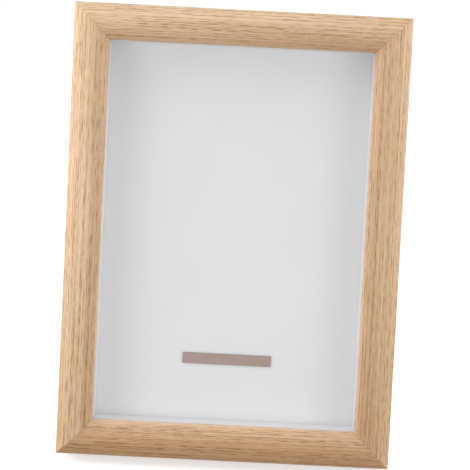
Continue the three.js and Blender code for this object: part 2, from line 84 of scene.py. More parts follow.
# %% Find the axes of the strut and the ring
hinge = joints["strut_hinge"]
strut_open = math.radians(-hinge["range_deg"][0])
PIN = axes(right, back, up, Vector(hinge["pos_m"]))
STRUT = PIN @ Matrix.Rotation(strut_open, 4, "X")
EYE = axes(right, back, up, Vector(joints["ring_swing"]["pos_m"]))
RING = axes(right, Vector((0, 1, 0)), Vector((0, 0, 1)), Vector(joints["ring_swing"]["pos_m"]))
print("the strut stands open by", round(math.degrees(strut_open), 1), "degrees")

# %% [markdown]
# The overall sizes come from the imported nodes, read back in the frame's own axes, so this script
# can't drift away from the model. Sizes that belong to one piece wait in that piece's own cell.

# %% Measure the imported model
def box_in(matrix, node):
    """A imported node's lowest and highest corner, in millimetres along the axes of a matrix."""
    inverse = matrix.inverted()
    points = [inverse @ vertex.co for vertex in nodes[node].data.vertices]
    low = Vector(min(point[i] for point in points) for i in range(3))
    high = Vector(max(point[i] for point in points) for i in range(3))
    return low, high


def own_box(node):
    """The same corners along the frame's own axes."""
    return box_in(OWN, node)


left_edge = own_box("rail_left")[0].x
OUTER_W = -2 * left_edge
OUTER_H = own_box("rail_top")[1].z
RAIL_W = own_box("rail_bottom")[1].z
CROWN = own_box("rail_bottom")[0].y
BOARD_BACK = own_box("back_board")[1].y
print(f"moulding {OUTER_W:.1f} by {OUTER_H:.1f}, rails {RAIL_W:.1f} wide and {-CROWN:.1f} deep")

# %% [markdown]
# A material is a small tree of nodes, and adding one node is always the same work: make it, set
# its options, fill its inputs. One helper does that. It links an input that is given a socket, or
# a node by its first output, and sets one that is given a value. Short helpers on top of it make
# what nearly every material here needs. Colours are written as a screen shows them, 0 to 255,
# and turned into the linear light that the renderer counts in.

# %% Helpers for materials
def add(tree, kind, inputs=None, **options):
    """Add a shader node, set its options and fill its inputs by name or number."""
    made = tree.nodes.new(kind)
    for option, value in options.items():
        setattr(made, option, value)
    for name, value in (inputs or {}).items():
        if isinstance(value, bpy.types.Node):
            value = value.outputs[0]
        if isinstance(value, bpy.types.NodeSocket):
            tree.links.new(value, made.inputs[name])
        else:
            made.inputs[name].default_value = value
    return made


def shade(red, green, blue):
    """A colour as a screen shows it, in linear light."""
    shown = [part / 255 for part in (red, green, blue)]
    linear = [((part + 0.055) / 1.055) ** 2.4 if part > 0.04 else part / 12.92 for part in shown]
    return (*linear, 1)


def blend(tree, amount, first, second, how="MIX"):
    """The colour that goes from the first to the second as the amount goes from 0 to 1."""
    inputs = {0: amount, 6: first, 7: second}
    return add(tree, "ShaderNodeMix", inputs, data_type="RGBA", blend_type=how).outputs[2]


def maths(tree, operation, first, second):
    """Two numbers put together by an operation of the Math node."""
    return add(tree, "ShaderNodeMath", {0: first, 1: second}, operation=operation)


def times(tree, first, second):
    """One number times another."""
    return maths(tree, "MULTIPLY", first, second)


def spread(tree, share, low, high):
    """The value that goes from low to high as the share goes from 0 to 1."""
    return add(tree, "ShaderNodeMapRange", {"Value": share, "To Min": low, "To Max": high})


def bumps(tree, height, strength, distance, invert=False):
    """A normal that leans as if the surface rose and fell by a distance, in metres."""
    inputs = {"Height": height, "Strength": strength, "Distance": distance}
    return add(tree, "ShaderNodeBump", inputs, invert=invert)


def new_material(name):
    """An empty material and its tree."""
    material = bpy.data.materials.new(name)
    material.use_nodes = True
    material.node_tree.nodes.clear()
    return material, material.node_tree


def surface(tree, inputs):
    """One Principled shader as the finished surface."""
    shader = add(tree, "ShaderNodeBsdfPrincipled", inputs)
    add(tree, "ShaderNodeOutputMaterial", {"Surface": shader})


def place_in_piece(tree):
    """Where a point is on its piece. It goes along when the piece moves."""
    return add(tree, "ShaderNodeTexCoord").outputs["Object"]


print("display white is", [round(part, 3) for part in shade(255, 255, 255)])

# %% [markdown]
# Wood grain, brushed metal and pressed fibres are all the same effect: noise that is stretched
# along one direction and cut off between two levels. So it is built once, as a node group, and
# each material gives it its own frequencies, in marks per metre along x, y and z.

# %% Build the group for stretched marks
def new_group(name, inputs, result, result_kind):
    """A node group with named inputs and one result, and the sockets its inputs come in by."""
    tree = bpy.data.node_groups.new(name, "ShaderNodeTree")
    for socket, kind, value in inputs:
        tree.interface.new_socket(socket, in_out="INPUT", socket_type=kind).default_value = value
    tree.interface.new_socket(result, in_out="OUTPUT", socket_type=result_kind)
    return tree, add(tree, "NodeGroupInput").outputs


VECTOR, NUMBER, COLOUR = "NodeSocketVector", "NodeSocketFloat", "NodeSocketColor"
marks_group, given = new_group(
    "Stretched marks",
    [("Place", VECTOR, (0, 0, 0)), ("Per metre", VECTOR, (100, 100, 100)),
     ("From", NUMBER, 0.3), ("To", NUMBER, 0.7)],
    "Mark", NUMBER,
)
inputs = {0: given["Place"], 1: given["Per metre"]}
stretched = add(marks_group, "ShaderNodeVectorMath", inputs, operation="MULTIPLY")
speckle = add(marks_group, "ShaderNodeTexNoise", {"Vector": stretched, "Scale": 1, "Detail": 3})
inputs = {"Value": speckle, "From Min": given["From"], "From Max": given["To"]}
cut_off = add(marks_group, "ShaderNodeMapRange", inputs, interpolation_type="SMOOTHSTEP")
add(marks_group, "NodeGroupOutput", {"Mark": cut_off})


def marks(tree, place, per_metre, start, end):
    """Marks between 0 and 1 from the shared group."""
    inputs = {"Place": place, "Per metre": per_metre, "From": start, "To": end}
    return add(tree, "ShaderNodeGroup", inputs, node_tree=marks_group)


print("shared group:", marks_group.name)

# %% [markdown]
# No real surface has one even tone. A second group lets a colour drift slowly a little lighter and
# darker from place to place. Oak, card, plate and board all use it, each with its own strength.

# %% Build the group for an uneven tone
tone_group, given = new_group(
    "Uneven tone",
    [("Color", COLOUR, (0.5, 0.5, 0.5, 1)), ("Place", VECTOR, (0, 0, 0)),
     ("Per metre", NUMBER, 20), ("Amount", NUMBER, 0.05)],
    "Color", COLOUR,
)
inputs = {"Vector": given["Place"], "Scale": given["Per metre"], "Detail": 4}
drift = add(tone_group, "ShaderNodeTexNoise", inputs)
darkest = maths(tone_group, "SUBTRACT", 1, given["Amount"])
lightest = maths(tone_group, "ADD", 1, given["Amount"])
strength = add(tone_group, "ShaderNodeMapRange", {
    "Value": drift, "From Min": 0.3, "From Max": 0.7, "To Min": darkest, "To Max": lightest,
})
inputs = {0: given["Color"], "Scale": strength}
toned = add(tone_group, "ShaderNodeVectorMath", inputs, operation="SCALE")
add(tone_group, "NodeGroupOutput", {"Color": toned})


def uneven(tree, colour, place, per_metre, amount):
    """The colour with a slow drift in its tone, from the shared group."""
    inputs = {"Color": colour, "Place": place, "Per metre": per_metre, "Amount": amount}
    return add(tree, "ShaderNodeGroup", inputs, node_tree=tone_group)


print("shared group:", tone_group.name)

# %% [markdown]
# Oak is ring-porous: each year it lays a band of open vessels and then dense wood. Sawn near the
# quarter, as this moulding is, the bands run along the stick as pale and tan stripes with short
# dark pores in them, and they wander a little. A picture of wood would do for a flat board, but
# on a domed rail it smears. Here the pattern fills the stick like real wood: each mesh carries
# the place of every point within its stick, and the noise is read there, stretched along it.
# Sticks differ in depth of colour too, and each rail also carries painted shade, darker where its face turns from
# the light, so the mesh carries one number for both.

# %% Make the oak
OAK_PALE = shade(240, 212, 180)
OAK_TAN = shade(230, 195, 158)
OAK_STREAK = shade(202, 160, 114)
OAK_PORE = shade(160, 116, 74)
# Multiplied in by the depth number: a deeper stick's own tone and painted shade.
OAK_DEEPER_AND_SHADED = (0.6, 0.49, 0.35, 1)
GRAIN = "grain"
DEPTH_AND_SHADE = "depth"
WANDER = 0.0004

oak, tree = new_material("oak")
stick = add(tree, "ShaderNodeAttribute", attribute_name=GRAIN).outputs["Vector"]
sway = marks(tree, stick, (11, 45, 30), 0.25, 0.75)
aside = times(tree, maths(tree, "SUBTRACT", sway, 0.5), WANDER)
shift = add(tree, "ShaderNodeCombineXYZ", {"Y": aside, "Z": aside})
wood = add(tree, "ShaderNodeVectorMath", {0: stick, 1: shift})

bands = marks(tree, wood, (6, 420, 360), 0.28, 0.72)
streaks = marks(tree, wood, (5, 1750, 1600), 0.42, 0.6)
pores = marks(tree, wood, (150, 2300, 2100), 0.49, 0.58)
open_pores = times(tree, pores, spread(tree, streaks, 0.25, 1))

colour = blend(tree, bands, OAK_PALE, OAK_TAN)
colour = blend(tree, times(tree, streaks, 0.42), colour, OAK_STREAK)
colour = blend(tree, times(tree, open_pores, 0.68), colour, OAK_PORE)
colour = uneven(tree, colour, stick, 18, 0.03)
# The depth number darkens the wood, for the stick's deeper tone and for painted shade.
depth = add(tree, "ShaderNodeAttribute", attribute_name=DEPTH_AND_SHADE).outputs["Fac"]
colour = blend(tree, depth, colour, OAK_DEEPER_AND_SHADED, "MULTIPLY")
relief = maths(tree, "ADD", open_pores, times(tree, streaks, 0.25))
surface(tree, {
    "Base Color": colour, "Roughness": spread(tree, open_pores, 0.46, 0.8),
    "Specular IOR Level": 0.4, "Normal": bumps(tree, relief, 0.5, 0.0001, invert=True),
})
print("oak nodes:", len(tree.nodes))

# %% [markdown]
# The box is lined with smooth white card: the board at the back and four strips round it. White is
# never quite even, so it gets the slow drift in tone, and a tooth so fine that it only softens
# the light. Its colour stays below full white, or the shadows of the rails would clip away.

# %% Make the white card
CARD = shade(231, 230, 233)

white_card, tree = new_material("white_card")
place = place_in_piece(tree)
tooth = marks(tree, place, (2600, 2600, 2600), 0.3, 0.7)
surface(tree, {
    "Base Color": uneven(tree, CARD, place, 28, 0.012), "Roughness": 0.85,
    "Specular IOR Level": 0.3, "Normal": bumps(tree, tooth, 0.15, 0.00005),
})
print("white card nodes:", len(tree.nodes))

# %% [markdown]
# The blank title plate is thin aluminium, brushed along its length and anodised taupe. Its eased edges are
# coloured a darker, greyer taupe than the face, which draws the fine line round it.

# %% Make the plate's face and edge
TAUPE_DARK = shade(150, 127, 117)
TAUPE_PALE = shade(163, 140, 130)
PLATE_EDGE = shade(136, 129, 128)

title_face, tree = new_material("title_face")
place = place_in_piece(tree)
brushing = marks(tree, place, (60, 5200, 5200), 0.35, 0.65)
colour = blend(tree, brushing, TAUPE_DARK, TAUPE_PALE)
surface(tree, {
    "Base Color": uneven(tree, colour, place, 120, 0.03), "Roughness": 0.5,
    "Metallic": 0.15, "Normal": bumps(tree, brushing, 0.12, 0.00003),
})

title_edge, tree = new_material("title_edge")
edge_colour = uneven(tree, PLATE_EDGE, place_in_piece(tree), 300, 0.05)
surface(tree, {"Base Color": edge_colour, "Roughness": 0.45, "Metallic": 0.2})
print("plate materials:", title_face.name, title_edge.name)

# %% [markdown]
# The back and the strut are pressed fibreboard: brown wood fibres laid every way in a darker
# binder. Two layers of stretched marks, one across the other, give the matted look, and a few
# dark flecks sit on top. The same board makes both pieces, so one material serves them.

# %% Make the fibreboard
FIBRE_DARK = shade(122, 88, 56)
FIBRE_MID = shade(154, 117, 78)
FIBRE_LIGHT = shade(182, 146, 104)
FIBRE_FLECK = shade(92, 62, 38)

fibreboard, tree = new_material("fibreboard")
place = place_in_piece(tree)
lying = marks(tree, place, (260, 1500, 1500), 0.38, 0.66)
standing = marks(tree, place, (1500, 1500, 260), 0.42, 0.7)
flecks = marks(tree, place, (900, 900, 900), 0.64, 0.72)
colour = blend(tree, lying, FIBRE_MID, FIBRE_DARK)
colour = blend(tree, times(tree, standing, 0.6), colour, FIBRE_LIGHT)
colour = blend(tree, times(tree, flecks, 0.5), colour, FIBRE_FLECK)
surface(tree, {
    "Base Color": uneven(tree, colour, place, 30, 0.06), "Roughness": spread(tree, lying, 0.55, 0.75),
    "Specular IOR Level": 0.35, "Normal": bumps(tree, standing, 0.3, 0.0001),
})
print("fibreboard nodes:", len(tree.nodes))

# %% [markdown]
# The fittings are pressed and rolled from zinc-plated steel strip. Plating is metal all through,
# so Metallic is 1 and the look comes from what it mirrors: faint lines from the rolling mill
# break that up, and cloudy patches where the plating is duller blur it and tint it warm.

# %% Make the plated steel
STEEL_BRIGHT = shade(206, 208, 210)
STEEL_DULL = shade(188, 187, 183)

steel, tree = new_material("steel")
place = place_in_piece(tree)
lines = marks(tree, place, (150, 4500, 4500), 0.3, 0.7)
clouds = marks(tree, place, (220, 220, 220), 0.35, 0.7)
surface(tree, {
    "Base Color": blend(tree, clouds, STEEL_BRIGHT, STEEL_DULL), "Metallic": 1,
    "Roughness": spread(tree, clouds, 0.3, 0.4), "Normal": bumps(tree, lines, 0.15, 0.00003),
})
print("steel nodes:", len(tree.nodes))

# %% [markdown]
# The pane is clear float glass. Light reaches the box through it, and a renderer finds light
# through real refracting glass only by luck, with much noise. So the pane refracts and reflects
# what is seen in it, and is simply clear to shadows and to light on its way between surfaces.

# %% Make the glass
CLEAR_GLASS = shade(252, 254, 253)

glass, tree = new_material("glass")
smears = marks(tree, place_in_piece(tree), (14, 14, 22), 0.35, 0.75)
pane = add(tree, "ShaderNodeBsdfPrincipled", {
    "Base Color": CLEAR_GLASS, "Roughness": spread(tree, smears, 0, 0.03),
    "IOR": 1.45, "Transmission Weight": 1,
})
clear = add(tree, "ShaderNodeBsdfTransparent")
ray = add(tree, "ShaderNodeLightPath")
passing = maths(tree, "MAXIMUM", ray.outputs["Is Shadow Ray"], ray.outputs["Is Diffuse Ray"])
mix = add(tree, "ShaderNodeMixShader", {0: passing, 1: pane, 2: clear})
add(tree, "ShaderNodeOutputMaterial", {"Surface": mix})
print("glass nodes:", len(tree.nodes))

# %% [markdown]
# Every new piece goes through the same steps: points in millimetres become a mesh with outward
# faces, the mesh is taken to the shared frame, and it becomes a piece that rides on its body and
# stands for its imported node. Shading is smooth except over edges past an angle. Many shapes are
# rings of points, each joined to the next, so one helper puts a skin over such rings.

# %% Helpers for pieces
SHARP_ANGLE = math.radians(32)


def mesh_from(name, points, faces):
    """A closed mesh with its faces turned outwards."""
    mesh = bpy.data.meshes.new(name)
    mesh.from_pydata([tuple(point) for point in points], [], faces)
    shape = bmesh.new()
    shape.from_mesh(mesh)
    bmesh.ops.recalc_face_normals(shape, faces=shape.faces[:])
    shape.to_mesh(mesh)
    shape.free()
    return mesh


def band(row, next_row):
    """The faces between two closed rows of point numbers: triangles where a row is one point."""
    for i, here in enumerate(row):
        after = (i + 1) % len(row)
        yield tuple(dict.fromkeys((here, row[after], next_row[after], next_row[i])))


def skinned(name, rings):
    """A closed mesh over rings of points, each joined to the next, with both ends capped."""
    count = len(rings[0])
    rows = [range(start, start + count) for start in range(0, count * len(rings), count)]
    faces = [tuple(rows[0]), tuple(reversed(rows[-1]))]
    for row, next_row in zip(rows, rows[1:]):
        faces += band(row, next_row)
    return mesh_from(name, [point for ring in rings for point in ring], faces)


def new_object(name, data):
    """An object in the scene for a mesh, a lamp or a camera."""
    made = bpy.data.objects.new(name, data)
    bpy.context.scene.collection.objects.link(made)
    return made


def make_piece(name, mesh, matrix, body, slot, material, *stands_for):
    """Put a mesh in place as a piece of the object."""
    mesh.transform(matrix)
    mesh.materials.clear()
    mesh.materials.append(material)
    mesh.shade_smooth()
    mesh.set_sharp_from_angle(angle=SHARP_ANGLE)
    piece = new_object(name, mesh)
    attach(piece, body)
    if stands_for:
        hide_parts(*stands_for)
    return piece


def finish_node(node, material):
    """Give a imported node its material. Its shape stays."""
    mesh = nodes[node].data
    mesh.materials.clear()
    mesh.materials.append(material)


print("edges sharper than", round(math.degrees(SHARP_ANGLE)), "degrees stay crisp")

# %% [markdown]
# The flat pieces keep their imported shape: the pane, the card strips and boards, the fibreboard
# back, the strut and the nails in the corners. On the real frame they are plain sheet with crisp
# edges too, so a finer mesh would show nothing more.

# %% Finish the flat pieces
finish_node("glazing", glass)
for node in ("mount_board", "spacer_bottom", "spacer_top", "spacer_left", "spacer_right"):
    finish_node(node, white_card)
for node in ("back_board", "strut_leg"):
    finish_node(node, fibreboard)
for node in nodes:
    if node.startswith("corner_nail"):
        finish_node(node, steel)

# %% [markdown]
# A bend in sheet, wire or a wooden edge turns a corner without a kink. Three points give it: where
# it starts, the sharp corner that it is drawn towards, and where it ends. Holes and rounded
# corners are parts of a circle, which need only its middle, its radius and two angles.

# %% Helpers for bends and arcs
def bend(start, corner, end, steps):
    """Points of a smooth bend from start to end, drawn towards the corner."""
    for step in range(steps + 1):
        share = step / steps
        first = Vector(start).lerp(Vector(corner), share)
        second = Vector(corner).lerp(Vector(end), share)
        yield tuple(first.lerp(second, share))


def arc(centre, radius, start, end, steps):
    """Points round part of a circle, with its angles in degrees."""
    for step in range(steps + 1):
        angle = math.radians(start + (end - start) * step / steps)
        yield centre[0] + radius * math.cos(angle), centre[1] + radius * math.sin(angle)


print("halfway round a bend:", list(bend((0, 0), (1, 0), (1, 1), 2))[1])

# %% [markdown]
# The moulding's section is drawn once and run along all four rails. The cutter leaves a domed face:
# two arcs that meet flat at the crown, the inner one falling further, to the lip by the glass.
# Both end in an eased edge, since a sharp arris on oak would splinter. The same words and sizes
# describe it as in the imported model, only with finer steps.

# %% Draw the moulding's section
LIP_COVER = 4
RABBET_PLAY = 0.5
LIP_T = 2
RISE_OUTER = 5
RISE_INNER = 6
SHOULDER = CROWN + RISE_INNER + LIP_T
WALL_T = RAIL_W - LIP_COVER - RABBET_PLAY
FACE_EASE = 0.7
FACE_STEPS = 22
EASE_STEPS = 6
EDGE_EASE = 0.68
RABBET_EASE = 0.25
RABBET_STEPS = 3


def face_half(rise):
    """Half of the face, from the crown to the rail's side: how far across, and y."""
    half = RAIL_W / 2
    radius = (half * half + rise * rise) / (2 * rise)
    sweep = math.asin((half - FACE_EASE) / radius)
    start = (half - FACE_EASE, CROWN + radius * (1 - math.cos(sweep)))
    edge = (half, start[1] + FACE_EASE * math.tan(sweep))
    end = (half, edge[1] + FACE_EASE / math.cos(sweep))
    turns = [sweep * step / FACE_STEPS for step in range(FACE_STEPS)]
    points = [(radius * math.sin(turn), CROWN + radius * (1 - math.cos(turn))) for turn in turns]
    return points + list(bend(start, edge, end, EASE_STEPS))


def moulding_section():
    """The section's corners: how far in from the outer edge, and y."""
    middle = RAIL_W / 2
    points = [(middle - across, y) for across, y in reversed(face_half(RISE_OUTER))]
    points += [(middle + across, y) for across, y in face_half(RISE_INNER)[1:]]
    points += [(RAIL_W, SHOULDER), (WALL_T, SHOULDER)]
    points += arc((WALL_T - RABBET_EASE, -RABBET_EASE), RABBET_EASE, 0, 90, RABBET_STEPS)
    points += arc((EDGE_EASE, -EDGE_EASE), EDGE_EASE, 90, 180, EASE_STEPS)
    return points


section = moulding_section()
print("the section has", len(section), "points")

# %% [markdown]
# Two rails meet in a mitre, cut at 45 degrees, glued and sanded flush. Close up the joint is a fine
# line, because the arrises of both ends are just broken. So each rail ends in a second, slightly
# smaller section at the mitre, and the two small slopes make the line. The smaller section comes
# from moving every point of the outline in, along the bisector of its two edges. The fine steps of
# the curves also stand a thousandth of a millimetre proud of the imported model's coarser ones, so
# the section itself is moved in by a hair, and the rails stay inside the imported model's box.

# %% Offset an outline
HAIR = 0.004


def moved_in(loop, distance):
    """A closed outline, anticlockwise, with its points moved in by a distance."""
    moved = []
    for i, point in enumerate(loop):
        before, here, after = Vector(loop[i - 1]), Vector(point), Vector(loop[(i + 1) % len(loop)])
        first = (here - before).normalized().orthogonal()
        second = (after - here).normalized().orthogonal()
        middle = (first + second).normalized()
        moved.append(tuple(here + middle * distance / middle.dot(first)))
    return moved


section = moved_in(section, HAIR)
print("a square moved in by 0.1:", moved_in([(0, 0), (1, 0), (1, 1), (0, 1)], 0.1)[0])

# %% [markdown]
# The rails have slots for the corner nails and holes for the turn-button screws. They are cut as a
# joiner cuts them, with a tool: a second mesh that a Boolean takes away. Drawn by hand, each would
# have to be worked into the faces round it.

# %% Helpers for cutting
def carve(mesh, *tools):
    """The mesh without the space that the tools take."""
    work = new_object("work", mesh)
    cutters = [new_object("cutter", tool) for tool in tools]
    for cutter in cutters:
        cut = work.modifiers.new("cut", "BOOLEAN")
        cut.object = cutter
        cut.operation = "DIFFERENCE"
        cut.solver = "EXACT"
    seen = work.evaluated_get(bpy.context.evaluated_depsgraph_get())
    result = bpy.data.meshes.new_from_object(seen)
    for leftover in (work, *cutters):
        bpy.data.objects.remove(leftover)
    return result


def prism(loop, start, end, end_scale=1):
    """A closed mesh from an outline in x and z, pushed from y = start to y = end."""
    first = [(x, start, z) for x, z in loop]
    return skinned("tool", [first, [(x * end_scale, end, z * end_scale) for x, z in loop]])


def oblong(width, height, x=0, z=0):
    """A rectangle's corners round a middle, anticlockwise."""
    half, rise = width / 2, height / 2
    return [(x - half, z - rise), (x + half, z - rise), (x + half, z + rise), (x - half, z + rise)]


def circle(radius, steps, x=0, z=0):
    """Points round a circle, anticlockwise."""
    return list(arc((x, z), radius, 0, 360 * (1 - 1 / steps), steps - 1))


print("a drill of 24 sides:", len(prism(circle(1, 24), 0, 1).polygons), "faces")

# %% [markdown]
# Now the four rails. The first is drawn lying along x with its outer edge at z = 0. Its ends follow
# the mitre, because each point is drawn back by as much as it lies in from that edge. Turns about
# y bring the others to their sides, as in the imported model. Each stick has its own wood: the
# attribute for the grain holds the place in the stick, moved far along for every rail.
# The six numbers of a rail say how deep its colour is, from the outer edge to the inner one. The two after them
# say how much deeper it is at the ends of the stick, at -x and at +x. Both hold the stick's own tone and painted
# shade together: the down-facing outer part of the bottom rail is painted darkest, and the up-facing outer part of
# the top rail palest.

# %% Make the four rails
MITRE_GAP = 0.02
ARRIS_LENGTH = 0.3
ARRIS_DEPTH = 0.12
NAIL_LEG = 5
NAIL_T = 0.6
NAIL_DEEP = 10.5
FIT_GAP = 0.15
BUTTON_FROM_END = 60
BUTTON_SETBACK = 5
PILOT_R = 1.4
HOLE_SIDES = 24
SCREW_LENGTH = 10
PAST_BACK = 1
STICK_SPACING = 0.37

HALF_W, HALF_H = OUTER_W / 2, OUTER_H / 2
# The last two entries of each rail hold its own tone and painted shade, darkest where the rail faces down.
RAILS = [
    ("bottom", 0, OUTER_W, 0, 0, (1.0, 1.0, 1.0, 0.95, 0.6, 0.0), (0, -0.1)),
    ("right", -90, OUTER_H, HALF_W, HALF_H, (0.55, 0.45, 0.45, 0.7, 0.7, -0.1), (0.12, -0.08)),
    ("top", 180, OUTER_W, 0, OUTER_H, (0.0, 0.1, 0.15, 0.2, 0.45, 0.4), (0.16, -0.1)),
    ("left", 90, OUTER_H, -HALF_W, HALF_H, (0.8, 0.3, 0.05, 0.2, 0.6, 0.05), (-0.1, 0.15)),
]


def rail_mesh(length, screwed):
    """A rail along x, in millimetres, with its mitres, nail slots and pilot holes."""
    eased = moved_in(section, ARRIS_DEPTH)
    rings = []
    for side, outline, back_off in ((-1, eased, 0), (-1, section, 1), (1, section, 1), (1, eased, 0)):
        drawn = MITRE_GAP + back_off * ARRIS_LENGTH
        rings.append([(side * (length / 2 - inward - drawn), y, inward) for inward, y in outline])
    nail_x = length / 2 - WALL_T / 2 + NAIL_T / 2 - NAIL_LEG / 2
    tools = []
    for side in (-1, 1):
        slot = oblong(NAIL_LEG + 2 * FIT_GAP, NAIL_T + 2 * FIT_GAP, side * nail_x, WALL_T / 2)
        tools.append(prism(slot, -NAIL_DEEP - FIT_GAP, PAST_BACK))
        if screwed:
            hole_x = side * (length / 2 - BUTTON_FROM_END)
            hole = circle(PILOT_R, HOLE_SIDES, hole_x, WALL_T - BUTTON_SETBACK)
            tools.append(prism(hole, -SCREW_LENGTH - FIT_GAP, PAST_BACK))
    return carve(skinned("rail", rings), *tools)


def between(stops, share):
    """The value at a share of the way along evenly spaced stops."""
    place = min(max(share, 0), 1) * (len(stops) - 1)
    before = min(int(place), len(stops) - 2)
    return stops[before] + (stops[before + 1] - stops[before]) * (place - before)


for index, (name, turn, length, x, z, tone_and_shade, ends) in enumerate(RAILS):
    mesh = rail_mesh(length, name in ("left", "right"))
    places, tones_and_shades = [], []
    for vertex in mesh.vertices:
        along, y, inward = vertex.co
        places += (along * MM + STICK_SPACING * (index + 1), inward * MM + index, y * MM)
        tones_and_shades.append(between(tone_and_shade, inward / RAIL_W) + between(ends, along / length + 0.5))
    mesh.attributes.new(GRAIN, "FLOAT_VECTOR", "POINT").data.foreach_set("vector", places)
    mesh.attributes.new(DEPTH_AND_SHADE, "FLOAT", "POINT").data.foreach_set("value", tones_and_shades)
    matrix = OWN @ Matrix.Translation((x, 0, z)) @ Matrix.Rotation(math.radians(turn), 4, "Y")
    make_piece(f"oak_rail_{name}", mesh, matrix, "frame", "oak", oak, f"rail_{name}")
    print(f"oak_rail_{name}:", len(mesh.polygons), "faces")

# %% [markdown]
# Plates are stamped from sheet, and their cut edges are never square: a small round runs along
# them, and it catches the light. This helper makes such a plate from any outline, with holes.
# Rings of points go round the edge from the front face to the back, each moved in a little, and
# the two faces are filled with triangles. An outer outline goes anticlockwise and a hole clockwise.

# %% A helper for stamped plates
def stamped(loops, thickness, edge, steps=3):
    """A plate from y = 0 to y = thickness, with rounded edges."""
    levels = []
    for step in range(steps + 1):
        angle = math.pi / 2 * step / steps
        levels.append((edge * (1 - math.sin(angle)), edge * (1 - math.cos(angle))))
    levels += [(inset, thickness - depth) for inset, depth in reversed(levels)]
    points = [(x, y, z) for inset, y in levels for loop in loops for x, z in moved_in(loop, inset)]
    faces = []
    total = sum(len(loop) for loop in loops)
    last = (len(levels) - 1) * total
    for start in range(0, last, total):
        for loop in loops:
            row = range(start, start + len(loop))
            faces += band(row, [i + total for i in row])
            start += len(loop)
    flat = [[Vector((x, z, 0)) for x, z in moved_in(loop, edge)] for loop in loops]
    for triangle in tessellate_polygon(flat):
        faces.append(tuple(triangle))
        faces.append(tuple(last + i for i in triangle))
    return mesh_from("plate", points, faces)


print("a washer:", len(stamped([circle(2, 24), circle(1, 24)[::-1]], 0.5, 0.1).polygons), "faces")

# %% [markdown]
# The title plate is such a plate, with its edges eased wide enough to see, and it is held by a
# pad of tape that shows only as a dark line under it. The eased edges take the second material:
# their faces are the ones that don't face straight forwards.

# %% Make the title plate
PLATE_EASE = 0.22
PLATE_CORNER = 0.4
PAD_INSET = 0.8
PAD_EDGE = 0.05
FACING_FRONT = -0.99


def rounded_oblong(low, high, radius, steps=6):
    """A rectangle with rounded corners, from its lowest to its highest corner."""
    points = []
    corners = ((high.x, low.z), (high.x, high.z), (low.x, high.z), (low.x, low.z))
    for (x, z), start in zip(corners, (270, 0, 90, 180)):
        centre_x = x - math.copysign(radius, x - (low.x + high.x) / 2)
        centre_z = z - math.copysign(radius, z - (low.z + high.z) / 2)
        points += arc((centre_x, centre_z), radius, start, start + 90, steps)
    return points


def plate_in_box(low, high, edge):
    """A plate with rounded corners, from the lowest to the highest corner of its box."""
    mesh = stamped([rounded_oblong(low, high, PLATE_CORNER)], high.y - low.y, edge)
    mesh.transform(Matrix.Translation((0, low.y, 0)))
    return mesh


low, high = own_box("title_plate")
mesh = plate_in_box(low, high, PLATE_EASE)
plate = make_piece("taupe_title_plate", mesh, OWN, "frame", "title_plate", title_face, "title_plate")
plate.data.materials.append(title_edge)
for face in plate.data.polygons:
    face.material_index = 0 if face.normal.dot(back) < FACING_FRONT else 1

pad_back = own_box("mount_board")[0].y
pad_low = Vector((low.x + PAD_INSET, high.y, low.z + PAD_INSET))
pad_high = Vector((high.x - PAD_INSET, pad_back, high.z - PAD_INSET))
pad = plate_in_box(pad_low, pad_high, PAD_EDGE)
make_piece("title_plate_tape", pad, OWN, "frame", "white_card", white_card)
print(f"title plate {high.x - low.x:.0f} by {high.z - low.z:.0f} mm")

# %% [markdown]
# A hinge leaf is cut flat and then rolled round its pin. This lesson does the same: the blank is a
# stamped plate, cross lines are cut into its mesh where it will bend, and then every point past
# the start of the roll is carried round. The knuckles come out of the blank's notches, and the
# leg leaf's tongue stays straight, because it is slit free of the knuckles on both sides.

# %% Helpers for rolled sheet
LEAF_T = 0.8
SHEET_EDGE = 0.12
ROLL_TURN = math.radians(290)
BEND_LINES = 30
SAME_PLACE = 1e-5


def crossed(mesh, lines, direction):
    """Cut lines across a mesh, so that it can bend there."""
    shape = bmesh.new()
    shape.from_mesh(mesh)
    for line in lines:
        everything = shape.verts[:] + shape.edges[:] + shape.faces[:]
        at = Vector(direction) * line
        bmesh.ops.bisect_plane(
            shape, geom=everything, dist=SAME_PLACE, plane_co=at, plane_no=direction,
        )
    shape.to_mesh(mesh)
    shape.free()
    return mesh


def roll_length(radius):
    """How much of the blank goes round, measured in the middle of the sheet."""
    return ROLL_TURN * (radius - LEAF_T / 2)


def rolled(outline, holes, radius, straight_half=0):
    """A strip stamped flat, its z from a far end below 0 to its rolled end, bent round a pin at 0."""
    mesh = stamped([outline, *holes], LEAF_T, SHEET_EDGE)
    length = roll_length(radius)
    crossed(mesh, [length * line / BEND_LINES for line in range(BEND_LINES)], (0, 0, 1))
    for vertex in mesh.vertices:
        x, y, z = vertex.co
        if z <= 0 or abs(x) < straight_half:
            vertex.co = (x, y - radius, -z)
        else:
            angle = math.pi + z / length * ROLL_TURN
            vertex.co = (x, (radius - y) * math.cos(angle), (radius - y) * math.sin(angle))
    return mesh


def mirrored(points):
    """The points, and back through the same points on the other side of x = 0."""
    return points + [(-x, z) for x, z in reversed(points)]


def rounded_end(half, far, radius, steps=8):
    """The far end of a leaf's outline, anticlockwise, with its corners rounded."""
    return mirrored(list(arc((-half + radius, far + radius), radius, 180, 270, steps)))


print(f"a knuckle of radius 2.2 takes {roll_length(2.2):.1f} mm of sheet")

# %% [markdown]
# The leaf on the back board has two outer knuckles. The leaf on the leg has two knuckles between
# them, and between those a tongue that meets the other leaf when the strut is open: that is what
# stops the strut. Both have two holes for rivets.

# %% Make the two hinge leaves
LEAF_W = 26
LEAF_LENGTH = 20
LEAF_CORNER_R = 3
OUTER_KNUCKLE_W = 4.5
ROLL_ROOM_GAP = 0.3
TONGUE_W = 6
TONGUE_SLOT = 0.6
RIVET_SPREAD = 8
RIVET_FROM_PIN = 13
RIVET_HOLE_R = 1.35

